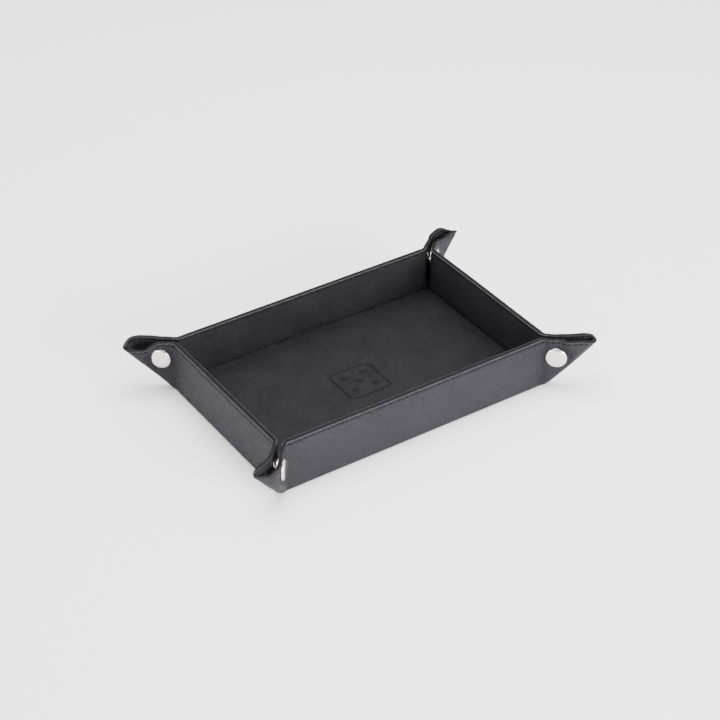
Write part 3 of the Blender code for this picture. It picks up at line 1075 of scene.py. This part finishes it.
def snap_piece(node, leaf, kind):
    """A press snap's part in nickel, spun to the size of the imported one."""
    centre = leaf.fold + leaf.out * SNAP_ALONG + UP * SNAP_UP
    low, high = node_reach(node, centre, leaf.face)
    across = node_reach(node, centre, UP)
    radius = (across[1] - across[0]) / 2
    seat = LEAF / 2 + SNAP_SEAT
    profile = {
        "cap": scaled(CAP_PROFILE, radius, seat, high),
        "post": scaled(POST_PROFILE, radius, seat, high),
        "socket": socket_profile(radius, low, -seat),
        "stud": stud_profile(radius, low, -seat),
    }[kind]
    bm = turned(profile, centre, leaf.face)
    made = new_piece(f"{leaf.corner}_snap_{kind}_nickel", bm, ["snap_polished_nickel"], [node])
    rounding = made.modifiers.new("pressed_round", "SUBSURF")
    rounding.levels = rounding.render_levels = 1
    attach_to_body(made, leaf.body)


def socket_profile(radius, low, high):
    """A ring on the lining: rolled outer rim, and a sprung bore that grips the stud's knob."""
    bore = 0.42 * radius
    return [
        (radius * 0.96, high), (radius, high - 0.25 * MM), (radius, low + 0.5 * MM),
        (radius * 0.95, low + 0.12 * MM), (radius * 0.87, low), (radius * 0.78, low + 0.15 * MM),
        (radius * 0.72, low + 0.5 * MM), (radius * 0.6, low + 0.5 * MM), (bore * 1.15, low + 0.35 * MM),
        (bore, low + 0.5 * MM), (bore, high - 0.75 * MM), (bore * 0.9, high - 0.65 * MM),
        (1.5 * MM, high - 0.65 * MM), (1.5 * MM, high),
    ]


def stud_profile(radius, low, high):
    """A flanged stud on the lining: a flat flange, and a knob with a narrow neck."""
    knob, flange = 2.3 * MM, 0.6 * MM
    return [
        (1.45 * MM, high), (radius * 0.97, high), (radius, high - 0.2 * MM),
        (radius * 0.98, high - 0.45 * MM), (radius * 0.9, high - flange), (knob * 1.3, high - flange),
        (knob * 0.9, high - flange - 0.1 * MM), (knob * 0.84, high - flange - 0.35 * MM),
        (knob * 0.95, high - flange - 0.6 * MM), (knob, low + 0.45 * MM), (knob * 0.93, low + 0.15 * MM),
        (knob * 0.8, low), (1.45 * MM, low), (1.4 * MM, low + 0.3 * MM), (1.4 * MM, high - 0.3 * MM),
    ]


# --- operators


class DICETRAY_OT_base(bpy.types.Operator):
    """Lays the base's outer leather and its stamped lining"""

    bl_idname = "dicetray.base"
    bl_label = "Base"

    def execute(self, context):
        base_hide()
        base_lining()
        return {"FINISHED"}


class DICETRAY_OT_walls(bpy.types.Operator):
    """Wraps each wall in its outer leather and lining, with the crease at the base"""

    bl_idname = "dicetray.walls"
    bl_label = "Walls"

    def execute(self, context):
        for side in SIDES:
            wall_leathers(side)
        return {"FINISHED"}


class DICETRAY_OT_ear_creases(bpy.types.Operator):
    """Bends the leather from each wall into its ears"""

    bl_idname = "dicetray.ear_creases"
    bl_label = "Ear Creases"

    def execute(self, context):
        for leaf in LEAVES:
            ear_creases(leaf)
        return {"FINISHED"}


class DICETRAY_OT_ears(bpy.types.Operator):
    """Shapes the two leaves of each ear"""

    bl_idname = "dicetray.ears"
    bl_label = "Ears"

    def execute(self, context):
        for leaf in LEAVES:
            leaf_leather(leaf, "outer", LEAF / 2, HIDE)
            leaf_leather(leaf, "lining", -LEAF / 2, LINING)
        return {"FINISHED"}


class DICETRAY_OT_stitches(bpy.types.Operator):
    """Sews the rims and the panels with waxed thread"""

    bl_idname = "dicetray.stitches"
    bl_label = "Stitches"

    def execute(self, context):
        settings = context.scene.dice_tray.leather
        for side in SIDES:
            wall_stitches(side, settings)
        for leaf in LEAVES:
            ear_stitches(leaf, settings)
        return {"FINISHED"}


class DICETRAY_OT_snaps(bpy.types.Operator):
    """Sets a press snap in each ear"""

    bl_idname = "dicetray.snaps"
    bl_label = "Press Snaps"

    def execute(self, context):
        for leaf in LEAVES:
            for node in frame["record"]["behaviour"]["bodies"][leaf.body]:
                if "_snap_" in node:
                    snap_piece(node, leaf, node.rsplit("_", 1)[1])
        return {"FINISHED"}


class DICETRAY_OT_boards(bpy.types.Operator):
    """Gives the stiffening boards their fibreboard finish"""

    bl_idname = "dicetray.boards"
    bl_label = "Boards"

    def execute(self, context):
        finish = finish_named("board_pressed_fibre")
        for name, node in frame["nodes"].items():
            if name.endswith("_board"):
                node.data.materials.clear()
                node.data.materials.append(finish)
        return {"FINISHED"}


class DICETRAY_OT_studio(bpy.types.Operator):
    """Sets the table, the lights and the camera"""

    bl_idname = "dicetray.studio"
    bl_label = "Studio"

    def execute(self, context):
        settings = context.scene.dice_tray.studio
        lay_table(settings)
        light_table(settings)
        place_camera(settings)
        return {"FINISHED"}


def lay_table(settings):
    """A table top, just under the tray's lowest point."""
    bm = bmesh.new()
    bmesh.ops.create_grid(bm, x_segments=1, y_segments=1, size=0.5)
    bmesh.ops.scale(bm, vec=(14, 14, 1), verts=bm.verts)
    bmesh.ops.translate(bm, vec=(0, 0, CAD_BOX[0].z - 0.1 * MM), verts=bm.verts)
    mesh = bpy.data.meshes.new("table_top")
    bm.to_mesh(mesh)
    bm.free()
    matt_laminate(settings.floor)
    mesh.materials.append(bpy.data.materials["table_matt_laminate"])
    table = bpy.data.objects.new("table_top", mesh)
    bpy.context.scene.collection.objects.link(table)


def add_softbox(name, place, size, power):
    """A rectangular light of this width and height, turned to the tray's middle."""
    light = bpy.data.lights.new(name, "AREA")
    light.shape = "RECTANGLE"
    light.size, light.size_y = size
    light.energy = power
    made = bpy.data.objects.new(name, light)
    made.location = place
    made.rotation_mode = "QUATERNION"
    made.rotation_quaternion = Vector(place).to_track_quat("Z", "Y")
    bpy.context.scene.collection.objects.link(made)


def light_table(settings):
    """White all round but for the dark end of the room, behind the camera, which the snaps mirror."""
    world = bpy.data.worlds.new("white_studio")
    bpy.context.scene.world = world
    world.use_nodes = True
    tree = world.node_tree
    place = add_node(tree, "ShaderNodeTexCoord").outputs["Generated"]
    sockets = {0: place, 1: camera_way(settings)}
    toward = add_node(tree, "ShaderNodeVectorMath", sockets, operation="DOT_PRODUCT").outputs["Value"]
    sockets = {"Value": toward, "From Min": 0.94, "From Max": 0.985, "To Min": 1.5, "To Max": 0.1}
    white = add_node(tree, "ShaderNodeMapRange", sockets, interpolation_type="SMOOTHSTEP").outputs[0]
    tree.links.new(white, tree.nodes["Background"].inputs["Strength"])
    tree.nodes["Background"].inputs["Color"].default_value = hex_colour("#ffffff")
    add_softbox("softbox_over", (0.1, 0.1, 1.4), (1.2, 1.0), 42)
    add_softbox("softbox_front", (0.35, -1.6, 0.45), (1.3, 0.6), 82)
    add_softbox("softbox_left", (-1.3, -0.1, 0.16), (1.2, 0.25), 12)


def camera_way(settings):
    """From the tray to the camera."""
    turn, rise = radians(settings.azimuth), radians(settings.elevation)
    return Vector((sin(turn) * cos(rise), -cos(turn) * cos(rise), sin(rise)))


def place_camera(settings):
    """Looks at the tray a little past its middle, from over the near corner."""
    back = camera_way(settings)
    target = Vector((16.4, 24.1, 0)) * MM
    lens = bpy.data.cameras.new("camera")
    lens.lens = settings.lens
    lens.sensor_width = 36
    lens.clip_end = 50
    camera = bpy.data.objects.new("camera", lens)
    camera.location = target + back * settings.distance
    camera.rotation_mode = "QUATERNION"
    camera.rotation_quaternion = back.to_track_quat("Z", "Y")
    bpy.context.scene.collection.objects.link(camera)
    bpy.context.scene.camera = camera


class DICETRAY_PT_panel(bpy.types.Panel):
    bl_idname = "DICETRAY_PT_panel"
    bl_label = "Dice Tray"
    bl_space_type = "VIEW_3D"
    bl_region_type = "UI"
    bl_category = "Dice Tray"

    def draw(self, context):
        settings = context.scene.dice_tray
        for group in (settings.leather, settings.hardware, settings.studio):
            for name in group.__annotations__:
                self.layout.prop(group, name)
        for operator in OPERATORS:
            self.layout.operator(operator.bl_idname)


OPERATORS = (
    DICETRAY_OT_base,
    DICETRAY_OT_walls,
    DICETRAY_OT_ear_creases,
    DICETRAY_OT_ears,
    DICETRAY_OT_stitches,
    DICETRAY_OT_snaps,
    DICETRAY_OT_boards,
    DICETRAY_OT_studio,
)
SETTINGS = (LeatherSettings, HardwareSettings, StudioSettings, DiceTraySettings)
CLASSES = (*SETTINGS, *OPERATORS, DICETRAY_PT_panel)


def register():
    for kind in CLASSES:
        bpy.utils.register_class(kind)
    bpy.types.Scene.dice_tray = PointerProperty(type=DiceTraySettings)


def unregister():
    del bpy.types.Scene.dice_tray
    for kind in reversed(CLASSES):
        bpy.utils.unregister_class(kind)


def main():
    register()
    bpy.ops.dicetray.base()
    bpy.ops.dicetray.walls()
    bpy.ops.dicetray.ear_creases()
    bpy.ops.dicetray.ears()
    bpy.ops.dicetray.stitches()
    bpy.ops.dicetray.snaps()
    bpy.ops.dicetray.boards()
    bpy.ops.dicetray.studio()


if __name__ == "__main__":
    main()
